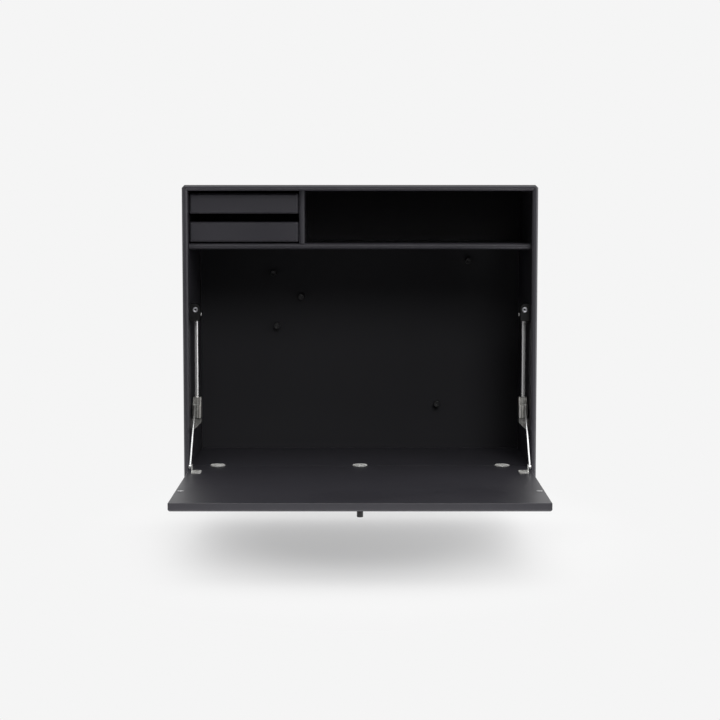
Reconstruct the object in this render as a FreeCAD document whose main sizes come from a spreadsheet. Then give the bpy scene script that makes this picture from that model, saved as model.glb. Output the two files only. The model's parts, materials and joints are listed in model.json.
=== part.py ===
import FreeCAD, Part
import os
import re

import Sketcher

# A fold down wall desk: a mitred cabinet with a shelf, an open bay and two drawers above,
# and a flap below that turns down on three round hinges to make the desk top. Two stays hold
# the flap: an arm on each side pulls a slider along an upright rod.
#
# Frame: millimetres, +Z up, +X to the right, the wall is the plane Y = 0 and the front faces -Y.
# The origin is the middle of the four wall screws. The flap is modelled open.

SIZES = [
    # name, size in millimetres, meaning
    ("cabinet_width", 822, "outer width of the cabinet"),
    ("cabinet_height", 688, "outer height of the cabinet"),
    ("cabinet_depth", 350, "wall to the cabinet's front"),
    ("panel", 13, "thickness of the frame, shelf and divider"),
    ("edge_bevel", 4, "45 degree bevel on both sides of a front edge"),
    ("corner_cut", 6.5, "45 degree cut along the outer corners"),
    ("hang_drop", 60, "cabinet top down to the middle of the wall screws"),
    ("wall_void", 13, "space behind the back board"),
    ("back_thickness", 8, "thickness of the back board"),
    ("back_groove", 5, "how far the back board goes into the frame"),
    ("steel_thickness", 1, "thickness of the steel sheet"),
    ("slip", 0.1, "clearance of a piece in its groove, pocket or hole"),
    ("board_gap", 0.4, "clearance of the flap to the boards it rests on"),
    ("bay_height", 122.6, "clear height of the drawer bay"),
    ("bay_width", 256, "width of the drawer bay"),
    # flap and hinges
    ("flap_thickness", 18, "thickness of the flap"),
    ("shelf_overlap", 9.2, "shelf's underside up to the closed flap's free edge"),
    ("flap_side_gap", 1.5, "flap to side panel"),
    ("flap_bevel", 3.5, "bevel round the closed flap's outer face"),
    ("flap_edge", 0.8, "bevel round the desk top"),
    ("hinge_setback", 30, "cabinet front to the hinge axis"),
    ("hinge_sink", 2.2, "flap surface down to the hinge axis"),
    ("seam_gap", 0.8, "gap between the flap and the floor board"),
    ("hinge_inset", 63.5, "side panel to the middle of an outer hinge"),
    ("cup_diameter", 35, "diameter of a hinge"),
    ("cup_depth", 11, "depth of a hinge below the surface"),
    ("cup_sink", 0.2, "hinge face below the surface"),
    ("knuckle_radius", 2, "radius of the hinge knuckles"),
    ("flap_knuckle", 5.5, "half length of the flap half's knuckle"),
    ("knuckle_margin", 1.5, "end of the knuckles to the hinge's rim"),
    ("knuckle_gap", 0.3, "gap round and beside a knuckle"),
    ("hinge_pin_radius", 1, "radius of a hinge pin"),
    ("running_gap", 0.05, "radial clearance of a shaft in its bore"),
    # stays
    ("rod_radius", 4.5, "radius of the stay rod"),
    ("rod_inset", 12, "side panel to the rod's axis"),
    ("rod_setback", 68, "cabinet front to the rod's axis"),
    ("foot_rise", 83, "floor surface to the rod foot"),
    ("foot_height", 26, "height of the rod foot"),
    ("foot_slant", 15.4, "slanted lower corner of the rod foot"),
    ("rod_seat", 14, "solid metal below the rod's end"),
    ("catch_height", 40, "height of the catch block"),
    ("catch_round", 11, "rounded upper corner of the catch block"),
    ("catch_edge", 1, "rounded upright edges of the catch block"),
    ("catch_below", 26.8, "catch magnet's middle down to its block's lower end"),
    ("rod_grip", 20, "length of the rod inside the catch block"),
    ("fitting_width", 23, "side panel to the inner face of catch block and foot"),
    ("fitting_back", 12, "rod's axis to the rear of catch block and foot"),
    ("flange_reach", 16, "flange behind catch block and foot"),
    ("flange_thickness", 3.5, "thickness of that flange"),
    ("flange_step", 1.5, "front of catch block and foot back to the flange's front edge"),
    ("slider_height", 49, "height of the slider"),
    ("slider_front", 22, "rod's axis to the slider's front"),
    ("slider_side_gap", 4, "side panel to the slider"),
    ("slider_rest_gap", 0.3, "slider above the rod foot"),
    ("trunnion_rise", 31, "slider's lower end to the trunnion"),
    ("trunnion_forward", 16, "rod's axis forward to the trunnion"),
    ("trunnion_radius", 2, "radius of the arm's trunnion"),
    ("hook_gap", 0.3, "clearance of the trunnion in the slider's hook"),
    ("hook_lip", 0.5, "trunnion's axis down to the hook's front lip"),
    ("arm_inset", 9, "side panel to the arm"),
    ("arm_radius", 2.2, "radius of the stay arm"),
    ("eye_margin", 0.3, "side of the arm's rod to the side of its ends"),
    ("eye_radius", 5, "radius of the arm's lower eye"),
    ("top_eye_radius", 4, "radius of the arm's upper end"),
    ("arm_slot_gap", 1.2, "clearance of the arm in the slider's slot"),
    ("pivot_reach", 104, "hinge axis to the flap bracket's pivot, along the flap"),
    ("pivot_rise", 15, "hinge axis up to the flap bracket's pivot"),
    ("pivot_pin_radius", 2, "radius of the flap bracket's pivot pin"),
    ("pivot_head_radius", 3.5, "radius of that pin's head"),
    ("pivot_head_height", 1, "height of that pin's head"),
    ("ear_radius", 6, "radius of the flap bracket's ear"),
    ("ear_thickness", 2, "thickness of the flap bracket's ear"),
    ("bracket_width", 22, "width of the flap bracket's plate"),
    ("bracket_half_length", 17, "half length of the flap bracket's plate"),
    ("bracket_thickness", 2.5, "thickness of the flap bracket's plate"),
    ("bracket_corner", 6, "rounded inner corners of the flap bracket's plate"),
    ("bracket_screw_span", 10, "bracket's middle to one of its screws"),
    # catches
    ("disc_radius", 7, "radius of a strike disc"),
    ("magnet_radius", 6, "radius of a catch magnet"),
    ("disc_inset", 13.2, "side panel to the middle of catch and strike"),
    ("strike_reach", 369, "hinge axis to the strike disc"),
    ("strike_depth", 2, "depth of the strike disc's pocket"),
    ("strike_proud", 0.9, "strike disc above the flap's surface"),
    ("magnet_length", 6, "length of the catch magnet"),
    ("magnet_proud", 0.7, "magnet in front of its block"),
    ("disc_hole_radius", 2.2, "hole in the middle of a strike disc"),
    ("magnet_hole_radius", 1.5, "hole in the middle of a catch magnet"),
    # knob and magnets on the back
    ("knob_radius", 6.7, "radius of the flap knob"),
    ("knob_neck_radius", 4.8, "radius of the knob's neck"),
    ("knob_length", 18, "length of the flap knob"),
    ("knob_inset", 40, "free edge to the knob"),
    ("stud_radius", 2, "radius of the knob's stud"),
    ("stud_in_flap", 12, "length of the stud inside the flap"),
    ("stud_in_knob", 10, "length of the stud inside the knob"),
    ("magnet_knob_radius", 7.5, "radius of a board magnet"),
    ("magnet_knob_length", 18, "length of a board magnet"),
    ("knob_edge", 1, "rounded rim of knob and board magnets"),
    ("dimple_radius", 1.3, "radius of the dimple in a board magnet"),
    ("magnet_1_x", -215.7, "middle of the cabinet to board magnet 1"),
    ("magnet_1_drop", 68, "shelf down to board magnet 1"),
    ("magnet_2_x", -146.2, "middle of the cabinet to board magnet 2"),
    ("magnet_2_drop", 126, "shelf down to board magnet 2"),
    ("magnet_3_x", -207.4, "middle of the cabinet to board magnet 3"),
    ("magnet_3_drop", 199, "shelf down to board magnet 3"),
    ("magnet_4_x", 269.4, "middle of the cabinet to board magnet 4"),
    ("magnet_4_drop", 37, "shelf down to board magnet 4"),
    ("magnet_5_x", 192.2, "middle of the cabinet to board magnet 5"),
    ("magnet_5_drop", 395, "shelf down to board magnet 5"),
    # drawers
    ("drawer_side_gap", 1.2, "drawer front to side panel and divider"),
    ("drawer_lift", 3.7, "shelf to the lower drawer"),
    ("drawer_headroom", 6.2, "upper drawer to the top panel"),
    ("finger_gap", 19.3, "gap between the drawers"),
    ("drawer_front", 13, "thickness of a drawer front"),
    ("drawer_bevel", 4, "bevel round a drawer front"),
    ("drawer_corner", 3, "45 degree cut at a drawer front's corners"),
    ("drawer_rear_gap", 7, "rear of a drawer to the back board"),
    ("drawer_wall", 12, "thickness of a drawer side"),
    ("drawer_inset", 0.3, "drawer side behind the front's end"),
    ("drawer_wall_height", 38, "drawer's lower edge to the top of its sides"),
    ("drawer_back", 10, "thickness of a drawer back"),
    ("drawer_bottom", 4, "thickness of a drawer bottom"),
    ("bottom_lift", 6, "drawer's lower edge to its bottom"),
    ("bottom_groove", 5, "how far the bottom goes into the sides and front"),
    ("runner_thickness", 7.3, "thickness of a runner"),
    ("runner_height", 10, "height of a runner"),
    ("runner_rise", 22, "drawer's lower edge to the runner's middle"),
    ("runner_front_gap", 4, "drawer front to the runner"),
    ("runner_rear_gap", 12, "rear end of a runner to the drawer's rear"),
    ("runner_lead", 2, "bevelled front end of a runner"),
    # screws
    ("screw_radius", 1.75, "radius of a countersunk screw"),
    ("screw_head_radius", 3.4, "radius of its head"),
    ("screw_head", 1.8, "height of its head"),
    ("screw_length", 13, "length of the whole screw"),
    ("runner_screw_inset", 40, "end of a runner to its screw"),
    # wall fittings
    ("wall_plate_inset", 48, "side panel to the middle of a wall plate"),
    ("wall_screw_rise", 12, "origin to a wall screw, up or down"),
    ("wall_hole_radius", 2.75, "radius of a wall screw's hole"),
    ("sheet_metal", 2.5, "thickness of hangers and wall plates"),
    ("wall_plate_half", 25, "half width of a wall plate"),
    ("plate_margin", 12, "lower wall screw to a wall plate's lower edge"),
    ("plate_step_rise", 8, "upper wall screw to the step of a wall plate"),
    ("lip_height", 10, "step of a wall plate to its lip's upper edge"),
    ("hook_inset", 1.2, "wall to the hanger's hook"),
    ("hook_play", 0.8, "hanger's hook to the lip in front of it"),
    ("hook_end_gap", 1, "step of a wall plate to the hook's lower edge"),
    ("hook_rest_gap", 0.3, "lip's upper edge to the hanger's web"),
]

PLACES = {
    "half_width": "cabinet_width / 2",
    "inner_half": "half_width - panel",
    "top_z": "hang_drop",
    "ceiling_z": "top_z - panel",
    "bottom_z": "top_z - cabinet_height",
    "bed_z": "bottom_z + panel",
    "floor_board": "flap_thickness + board_gap",
    "floor_z": "bed_z + floor_board",
    "shelf_top_z": "ceiling_z - bay_height",
    "shelf_z": "shelf_top_z - panel",
    "front_y": "-cabinet_depth",
    "back_y": "-wall_void",
    "board_y": "back_y - back_thickness",
    "steel_y": "board_y - steel_thickness",
    "divider_x": "-inner_half + bay_width",
    "hinge_y": "front_y + hinge_setback",
    "hinge_z": "floor_z - hinge_sink",
    "closed_y": "hinge_y + hinge_sink",
    "inner_front_y": "closed_y + board_gap",
    "flap_half": "inner_half - flap_side_gap",
    "seam_y": "hinge_y - seam_gap / 2",
    "free_y": "hinge_y + hinge_z - shelf_z - shelf_overlap",
    "hinge_x": "inner_half - hinge_inset",
    "cup_radius": "cup_diameter / 2",
    "knuckle_reach": "cup_radius - knuckle_margin",
    "rod_x": "inner_half - rod_inset",
    "rod_y": "front_y + rod_setback",
    "fitting_x": "inner_half - fitting_width",
    "fitting_y": "rod_y + fitting_back",
    "flange_x": "inner_half - flange_thickness",
    "flange_end_y": "fitting_y + flange_reach",
    "foot_z": "floor_z + foot_rise",
    "foot_top_z": "foot_z + foot_height",
    "strike_z": "hinge_z + strike_reach",
    "catch_z": "strike_z - catch_below",
    "rod_top_z": "catch_z + rod_grip",
    "catch_y": "closed_y + strike_proud + board_gap + magnet_proud",
    "disc_x": "inner_half - disc_inset",
    "slider_z": "foot_top_z + slider_rest_gap",
    "slider_y": "rod_y - slider_front",
    "slider_x": "inner_half - slider_side_gap",
    "trunnion_y": "rod_y - trunnion_forward",
    "trunnion_z": "slider_z + trunnion_rise",
    "hook_radius": "trunnion_radius + hook_gap",
    "arm_x": "inner_half - arm_inset",
    "eye_half": "arm_radius + eye_margin",
    "slot_half": "eye_half + arm_slot_gap",
    "pivot_y": "hinge_y - pivot_reach",
    "pivot_z": "hinge_z + pivot_rise",
    "arm_rise": "trunnion_z - pivot_z",
    "arm_run": "trunnion_y - pivot_y",
    "ear_x": "arm_x - eye_half - board_gap",
    "bracket_x": "ear_x - bracket_width",
    "bracket_screw_x": "(bracket_x + ear_x - ear_thickness) / 2",
    "bracket_top_z": "floor_z + bracket_thickness",
    "drawer_y": "inner_front_y + board_gap",
    "drawer_left": "-inner_half + drawer_side_gap",
    "drawer_right": "divider_x - drawer_side_gap",
    "wall_left": "drawer_left + drawer_inset",
    "wall_right": "drawer_right - drawer_inset",
    "bottom_left": "wall_left + drawer_wall - bottom_groove",
    "bottom_right": "wall_right - drawer_wall + bottom_groove",
    "drawer_rear_y": "board_y - drawer_rear_gap",
    "drawer_height": "(bay_height - drawer_lift - finger_gap - drawer_headroom) / 2",
    "lower_z": "shelf_top_z + drawer_lift",
    "upper_z": "lower_z + drawer_height + finger_gap",
    "runner_y": "drawer_y + drawer_front + runner_front_gap",
    "runner_end_y": "drawer_rear_y - runner_rear_gap",
    "knob_y": "free_y + knob_inset",
    "wall_plate_x": "inner_half - wall_plate_inset",
    "plate_inner_x": "wall_plate_x - wall_plate_half",
    "plate_outer_x": "wall_plate_x + wall_plate_half",
    "plate_low_z": "-1 * wall_screw_rise - plate_margin",
    "plate_step_z": "wall_screw_rise + plate_step_rise",
    "lip_top_z": "plate_step_z + lip_height",
    "lip_y": "-1 * hook_inset - hook_play - 2 * sheet_metal",
    "hook_end_z": "plate_step_z + hook_end_gap",
    "hook_z": "lip_top_z + hook_rest_gap",
    "hook_top_z": "hook_z + sheet_metal",
}

TURNS = {
    "+x": FreeCAD.Rotation(FreeCAD.Vector(0, 1, 0), 90),
    "-x": FreeCAD.Rotation(FreeCAD.Vector(0, 1, 0), -90),
    "+y": FreeCAD.Rotation(FreeCAD.Vector(1, 0, 0), -90),
    "-y": FreeCAD.Rotation(FreeCAD.Vector(1, 0, 0), 90),
    "+z": FreeCAD.Rotation(),
    "-z": FreeCAD.Rotation(FreeCAD.Vector(1, 0, 0), 180),
}

TOUCH = 0.001

doc = FreeCAD.newDocument("FoldDownWallDesk")
sheet = doc.addObject("Spreadsheet::Sheet", "Sizes")
for row, (name, size, meaning) in enumerate(SIZES, 1):
    sheet.set(f"A{row}", name)
    sheet.set(f"B{row}", str(size))
    sheet.set(f"C{row}", meaning)
    sheet.setAlias(f"B{row}", name)
doc.recompute()

pieces = []
cutters = {}


# Formulas, and the ways a piece is made

def formula(text):
    """Write a formula of the names in SIZES and PLACES as an expression on the sheet."""
    aliases = {name for name, size, meaning in SIZES}

    def expand(found):
        word = found.group()
        if word in PLACES:
            return "(" + formula(PLACES[word]) + ")"
        return "Sizes." + word if word in aliases else word

    return re.sub(r"[a-z]\w*", expand, text)


def value(text):
    return float(sheet.evalExpression(formula(text)))


def bind(thing, **formulas):
    for name, text in formulas.items():
        thing.setExpression(name, formula(text))


def put(thing, x="0", y="0", z="0"):
    for axis, text in zip("xyz", (x, y, z)):
        thing.setExpression("Placement.Base." + axis, formula(text))
    return thing


def piece(label, thing):
    thing.Label = label
    pieces.append(thing)
    return thing


def box(name, x, y, z):
    """A block between a low and a high place along each axis."""
    made = doc.addObject("Part::Box", name)
    for name, (low, high) in (("Length", x), ("Width", y), ("Height", z)):
        bind(made, **{name: f"({high}) - ({low})"})
    return put(made, x[0], y[0], z[0])


def shaft(name, start, toward, length, radius, end_radius=None):
    """A cylinder from start toward a direction, or a cone where end_radius is given."""
    if end_radius is None:
        made = doc.addObject("Part::Cylinder", name)
        bind(made, Radius=radius)
    else:
        made = doc.addObject("Part::Cone", name)
        bind(made, Radius1=radius, Radius2=end_radius)
    bind(made, Height=length)
    made.Placement = FreeCAD.Placement(FreeCAD.Vector(), TURNS[toward])
    return put(made, *start)


def join(name, shapes):
    made = doc.addObject("Part::MultiFuse", name)
    made.Shapes = shapes
    made.Refine = True
    return made


def group(name, shapes):
    made = doc.addObject("Part::Compound", name)
    made.Links = shapes
    return made


def cut(name, base, tools):
    made = doc.addObject("Part::Cut", name)
    made.Base = base
    made.Tool = tools[0] if len(tools) == 1 else join(name + "_tools", tools)
    made.Refine = True
    return made


def mirror(name, source):
    """The same piece on the other side of the plane X = 0."""
    made = doc.addObject("Part::Mirroring", name)
    made.Source = source
    made.Normal = FreeCAD.Vector(1, 0, 0)
    return made


def sketch_on(body, role):
    plane = next(feature for feature in body.Origin.OriginFeatures if feature.Role == role)
    sketch = body.newObject("Sketcher::SketchObject", body.Name + "_sketch")
    sketch.AttachmentSupport = [(plane, "")]
    sketch.MapMode = "FlatFace"
    return sketch


def draw(sketch, corners):
    """A closed outline whose corners are bound to the sheet."""
    points = [FreeCAD.Vector(value(u), value(v), 0) for u, v in corners]
    count = len(points)
    for index in range(count):
        sketch.addGeometry(Part.LineSegment(points[index], points[(index + 1) % count]))
    for index in range(count):
        sketch.addConstraint(Sketcher.Constraint("Coincident", index, 2, (index + 1) % count, 1))
    for index, (corner, point) in enumerate(zip(corners, points)):
        for kind, text, size in (("DistanceX", corner[0], point.x), ("DistanceY", corner[1], point.y)):
            if text == "0":
                axis = -2 if kind == "DistanceX" else -1
                sketch.addConstraint(Sketcher.Constraint("PointOnObject", index, 1, axis))
            else:
                number = sketch.addConstraint(Sketcher.Constraint(kind, -1, 1, index, 1, size))
                sketch.setExpression(f"Constraints[{number}]", formula(text))


def rectangle(u, v):
    return [(u[0], v[0]), (u[1], v[0]), (u[1], v[1]), (u[0], v[1])]


def prism(name, role, corners, start, length):
    """An outline padded from start: toward +X on YZ, toward -Y on XZ and toward +Z on XY."""
    body = doc.addObject("PartDesign::Body", name)
    sketch = sketch_on(body, role)
    draw(sketch, corners)
    pad = body.newObject("PartDesign::Pad", name + "_pad")
    pad.Profile = sketch
    bind(pad, Length=length)
    put(body, **{{"YZ_Plane": "x", "XZ_Plane": "y", "XY_Plane": "z"}[role]: start})
    doc.recompute()
    return body


def ease(body, kind, size, chosen):
    """Chamfer or fillet the edges of a body that the test picks."""
    base = body.Tip
    limits = base.Shape.BoundBox
    names = [f"Edge{number}" for number, edge in enumerate(base.Shape.Edges, 1) if chosen(edge, limits)]
    made = body.newObject("PartDesign::" + kind, body.Name + "_" + kind.lower())
    made.Base = (base, names)
    bind(made, **{"Size" if kind == "Chamfer" else "Radius": size})
    doc.recompute()
    return body


def turned(name, toward, profile, start):
    """A profile of radius and height, turned round its axis and pointed toward a direction."""
    body = doc.addObject("PartDesign::Body", name)
    sketch = sketch_on(body, "XZ_Plane")
    draw(sketch, profile)
    turning = body.newObject("PartDesign::Revolution", name + "_turning")
    turning.Profile = sketch
    turning.ReferenceAxis = (sketch, ["V_Axis"])
    turning.Angle = 360
    body.Placement = FreeCAD.Placement(FreeCAD.Vector(), TURNS[toward])
    put(body, *start)
    doc.recompute()
    return body


# Tests that pick edges

def spans(edge, axis):
    """How far an edge reaches along an axis."""
    ends = [getattr(vertex.Point, axis) for vertex in edge.Vertexes]
    return max(ends) - min(ends)


def lies_on(edge, axis, place):
    return all(abs(getattr(vertex.Point, axis) - place) < TOUCH for vertex in edge.Vertexes)


def front_but_mitres(edge, limits):
    """The front edges of a frame member. A mitre points at the cabinet's middle."""
    across = edge.Vertexes[0].Point - edge.Vertexes[-1].Point
    middle = (edge.Vertexes[0].Point + edge.Vertexes[-1].Point) / 2
    height = middle.z - value("(top_z + bottom_z) / 2")
    return lies_on(edge, "y", limits.YMin) and across.x * across.z * middle.x * height < TOUCH


def long_front(edge, limits):
    longest = max(limits.XLength, limits.ZLength)
    return lies_on(edge, "y", limits.YMin) and max(spans(edge, "x"), spans(edge, "z")) > longest - TOUCH


def front(edge, limits):
    return lies_on(edge, "y", limits.YMin)


def along_y(edge, limits):
    return spans(edge, "x") < TOUCH and spans(edge, "z") < TOUCH


def flap_rim(edge, limits, z):
    """The flap's edges at one height, but not the one at the hinges."""
    return lies_on(edge, "z", z) and not lies_on(edge, "y", limits.YMax)


def flap_underside(edge, limits):
    return flap_rim(edge, limits, limits.ZMin)


def flap_top(edge, limits):
    return flap_rim(edge, limits, limits.ZMax)


# Screws, with the holes that they need

cabinet_screws = []
bracket_screws = []
blanks = {}


def screw(name, start, toward, screws, labels):
    """A countersunk screw with its head flush at start, and its hole in each piece that labels names."""
    axis = "xyz".index(toward[1])
    neck = list(start)
    neck[axis] = f"{start[axis]} {toward[0]} screw_head"
    head = shaft(name + "_head", start, toward, "screw_head", "screw_head_radius", "screw_radius")
    shank = shaft(name + "_shank", neck, toward, "screw_length - screw_head", "screw_radius")
    screws.append(join(name, [head, shank]))
    sink = shaft(
        name + "_sink", start, toward, "screw_head", "screw_head_radius + slip", "screw_radius + slip",
    )
    hole = shaft(
        name + "_hole", neck, toward, "screw_length - screw_head + slip", "screw_radius + slip",
    )
    for label in labels:
        cutters.setdefault(label, []).extend([sink, hole])


def holed(label, blank):
    """Register a piece that the cutters with its label are taken from."""
    blanks[label] = blank


# The frame

def frame_member(label, corners):
    body = prism(label + "_body", "XZ_Plane", corners, "0", "cabinet_depth")
    ease(body, "Chamfer", "edge_bevel", front_but_mitres)
    holed(label, body)
    cutters.setdefault(label, []).append(back_slot)


back_slot = box(
    "back_slot",
    ("-inner_half - back_groove", "inner_half + back_groove"),
    ("board_y - slip", "back_y + slip"),
    ("bed_z - back_groove", "ceiling_z + back_groove"),
)
for label, edge_z, sign, inner_z in (
    ("top_panel", "top_z", "-", "ceiling_z"),
    ("bottom_panel", "bottom_z", "+", "bed_z"),
):
    frame_member(label, [
        ("-half_width + corner_cut", edge_z),
        ("half_width - corner_cut", edge_z),
        ("half_width - corner_cut / 2", f"{edge_z} {sign} corner_cut / 2"),
        ("inner_half", inner_z),
        ("-inner_half", inner_z),
        ("-half_width + corner_cut / 2", f"{edge_z} {sign} corner_cut / 2"),
    ])
for label, side in (("left_side_panel", "-1 * "), ("right_side_panel", "")):
    frame_member(label, [
        (side + "half_width", "bottom_z + corner_cut"),
        (side + "half_width", "top_z - corner_cut"),
        (side + "(half_width - corner_cut / 2)", "top_z - corner_cut / 2"),
        (side + "inner_half", "ceiling_z"),
        (side + "inner_half", "bed_z"),
        (side + "(half_width - corner_cut / 2)", "bottom_z + corner_cut / 2"),
    ])


# The inner boards

piece("back_board", box(
    "back_board",
    ("-inner_half - back_groove + slip", "inner_half + back_groove - slip"),
    ("board_y", "back_y"),
    ("bed_z - back_groove + slip", "ceiling_z + back_groove - slip"),
))
piece("steel_back_sheet", box(
    "steel_back_sheet",
    ("-inner_half + slip", "inner_half - slip"),
    ("steel_y", "board_y"),
    ("floor_z", "shelf_z"),
))
shelf = prism(
    "shelf_body", "XZ_Plane", rectangle(("-inner_half", "inner_half"), ("shelf_z", "shelf_top_z")),
    "board_y", "board_y - inner_front_y",
)
piece("shelf", ease(shelf, "Chamfer", "edge_bevel", long_front))
divider = prism(
    "divider_body", "XZ_Plane", rectangle(("divider_x", "divider_x + panel"), ("shelf_top_z", "ceiling_z")),
    "board_y", "board_y - inner_front_y",
)
holed("divider", ease(divider, "Chamfer", "edge_bevel", long_front))

# A V along the seam lets the flap turn about an axis below its surface.
seam_groove = prism(
    "seam_groove", "YZ_Plane",
    [
        ("hinge_y - hinge_sink - seam_gap", "floor_z + seam_gap / 2"),
        ("hinge_y", "hinge_z - seam_gap / 2"),
        ("hinge_y + hinge_sink + seam_gap", "floor_z + seam_gap / 2"),
    ],
    "-half_width", "cabinet_width",
)
floor_body = prism(
    "floor_body", "XY_Plane",
    rectangle(("-inner_half", "inner_half"), ("hinge_y + seam_gap / 2", "board_y")),
    "bed_z", "floor_board",
)
holed("floor_board", floor_body)
flap_body = prism(
    "flap_body", "XY_Plane", rectangle(("-flap_half", "flap_half"), ("free_y", "seam_y")),
    "floor_z - flap_thickness", "flap_thickness",
)
ease(flap_body, "Chamfer", "flap_bevel", flap_underside)
ease(flap_body, "Chamfer", "flap_edge", flap_top)
holed("flap_panel", flap_body)
for label in ("floor_board", "flap_panel"):
    cutters.setdefault(label, []).append(seam_groove)


# The round hinges

def knuckle(name, middle, low, high, radius):
    return shaft(name, (f"{middle} + {low}", "hinge_y", "hinge_z"), "+x", f"({high}) - ({low})", radius)


def hinge(side, middle):
    name = side + "_hinge"
    recess = shaft(
        name + "_recess", (middle, "hinge_y", "floor_z - cup_depth - slip"), "+z",
        "cup_depth + slip + seam_gap", "cup_radius + slip",
    )
    for label in ("floor_board", "flap_panel"):
        cutters[label].append(recess)
    bore_radius = "hinge_pin_radius + running_gap"
    bore = knuckle(name + "_bore", middle, "-1 * cup_radius", "cup_radius", bore_radius)
    outer = (
        ("-1 * knuckle_reach", "-1 * flap_knuckle - knuckle_gap"),
        ("flap_knuckle + knuckle_gap", "knuckle_reach"),
    )
    inner = (("-1 * flap_knuckle", "flap_knuckle"),)
    for half, low_y, high_y, own, other in (
        ("floor", "hinge_y + seam_gap / 2", "hinge_y + cup_diameter", outer, inner),
        ("flap", "hinge_y - cup_diameter", "hinge_y - seam_gap / 2", inner, outer),
    ):
        label = f"{name}_{half}_half"
        cup = shaft(
            label + "_cup", (middle, "hinge_y", "floor_z - cup_depth"), "+z",
            "cup_depth - cup_sink", "cup_radius",
        )
        keep = box(
            label + "_side", (f"{middle} - cup_diameter", f"{middle} + cup_diameter"),
            (low_y, high_y), ("floor_z - cup_depth", "floor_z"),
        )
        half_cup = doc.addObject("Part::Common", label + "_blank")
        half_cup.Base = cup
        half_cup.Tool = keep
        room = [
            knuckle(
                f"{label}_room_{number}", middle, f"{low} - knuckle_gap", f"{high} + knuckle_gap",
                "knuckle_radius + knuckle_gap",
            )
            for number, (low, high) in enumerate(other)
        ]
        body = cut(label + "_body", half_cup, room + [seam_groove])
        knuckles = [
            knuckle(f"{label}_knuckle_{number}", middle, low, high, "knuckle_radius")
            for number, (low, high) in enumerate(own)
        ]
        piece(label, cut(label, join(label + "_joined", [body] + knuckles), [bore]))
    return shaft(
        name + "_pin", (f"{middle} - knuckle_reach", "hinge_y", "hinge_z"), "+x", "2 * knuckle_reach",
        "hinge_pin_radius",
    )


piece("hinge_pins", group("hinge_pins", [
    hinge("left", "-hinge_x"),
    hinge("centre", "0"),
    hinge("right", "hinge_x"),
]))


# The stays. Each piece is made for the right side and mirrored to the left.

def both_sides(name, thing):
    piece("right_" + name, thing)
    piece("left_" + name, mirror("left_" + name, thing))


def fitting_outline(face_y):
    """Catch block and rod foot from above: a block round the rod on a flange that reaches behind it."""
    return [
        ("inner_half", f"{face_y} + flange_step"),
        ("inner_half", "flange_end_y"),
        ("flange_x", "flange_end_y"),
        ("flange_x", "fitting_y"),
        ("fitting_x", "fitting_y"),
        ("fitting_x", face_y),
        ("flange_x", face_y),
        ("flange_x", f"{face_y} + flange_step"),
    ]


def side_screws(name, z_places, label):
    """Screws through the flange of a fitting into both side panels."""
    for number, z in enumerate(z_places):
        place = ("fitting_y + flange_reach / 2", z)
        for side, x, toward, labels in (
            ("right", "flange_x", "+x", [label, "right_side_panel"]),
            ("left", "-flange_x", "-x", ["left_side_panel"]),
        ):
            screw(f"{side}_{name}_screw_{number}", (x, *place), toward, cabinet_screws, labels)


def lower_inner(edge, limits):
    return lies_on(edge, "x", limits.XMin) and lies_on(edge, "z", limits.ZMin)


def upper_inner(edge, limits):
    return lies_on(edge, "x", limits.XMin) and lies_on(edge, "z", limits.ZMax)


def upright_inner(edge, limits):
    return lies_on(edge, "x", limits.XMin) and spans(edge, "z") > TOUCH


rod_end = ("rod_x", "rod_y", "foot_z + rod_seat")
rod_length = "rod_top_z - foot_z - rod_seat"
both_sides("stay_rod", shaft("rod", rod_end, "+z", rod_length, "rod_radius"))
rod_bore = shaft("rod_bore", rod_end, "+z", f"{rod_length} + slip", "rod_radius + running_gap")

foot = prism("foot_body", "XY_Plane", fitting_outline("rod_y - fitting_back"), "foot_z", "foot_height")
ease(foot, "Chamfer", "foot_slant", lower_inner)
side_screws("foot", ("foot_z + foot_height / 4", "foot_z + foot_height * 3 / 4"), "rod_foot")
both_sides("rod_foot", cut("rod_foot", foot, [rod_bore] + cutters["rod_foot"]))

catch = prism("catch_body", "XY_Plane", fitting_outline("catch_y"), "catch_z", "catch_height")
ease(catch, "Fillet", "catch_round", upper_inner)
ease(catch, "Fillet", "catch_edge", upright_inner)
side_screws("catch", ("catch_z + catch_height / 4", "catch_z + catch_height * 3 / 4"), "catch_block")
magnet_place = ("disc_x", "catch_y - magnet_proud", "strike_z")
magnet_pocket = shaft("magnet_pocket", magnet_place, "+y", "magnet_length + slip", "magnet_radius + slip")
both_sides("catch_block", cut("catch_block", catch, [rod_bore, magnet_pocket] + cutters["catch_block"]))
magnet_hole = shaft("magnet_hole", magnet_place, "+y", "magnet_length", "magnet_hole_radius")
magnet_disc = shaft("magnet_disc", magnet_place, "+y", "magnet_length", "magnet_radius")
both_sides("catch_magnet", cut("catch_magnet", magnet_disc, [magnet_hole]))

slider = prism(
    "slider_body", "YZ_Plane",
    [
        ("slider_y", "slider_z"),
        ("fitting_y", "slider_z"),
        ("fitting_y", "slider_z + slider_height"),
        ("trunnion_y + hook_radius", "slider_z + slider_height"),
        ("trunnion_y + hook_radius", "trunnion_z - hook_radius"),
        ("trunnion_y - hook_radius", "trunnion_z - hook_radius"),
        ("trunnion_y - hook_radius", "trunnion_z - hook_lip"),
        ("slider_y", "trunnion_z - hook_lip"),
    ],
    "fitting_x", "slider_x - fitting_x",
)
slider_bore = shaft(
    "slider_bore", ("rod_x", "rod_y", "slider_z - slip"), "+z",
    "slider_height + 2 * slip", "rod_radius + running_gap",
)
arm_slot = box(
    "arm_slot",
    ("arm_x - slot_half", "arm_x + slot_half"),
    ("slider_y - slip", "trunnion_y + top_eye_radius + arm_slot_gap"),
    ("slider_z - slip", "slider_z + slider_height + slip"),
)
both_sides("slider", cut("slider", slider, [slider_bore, arm_slot]))


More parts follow.
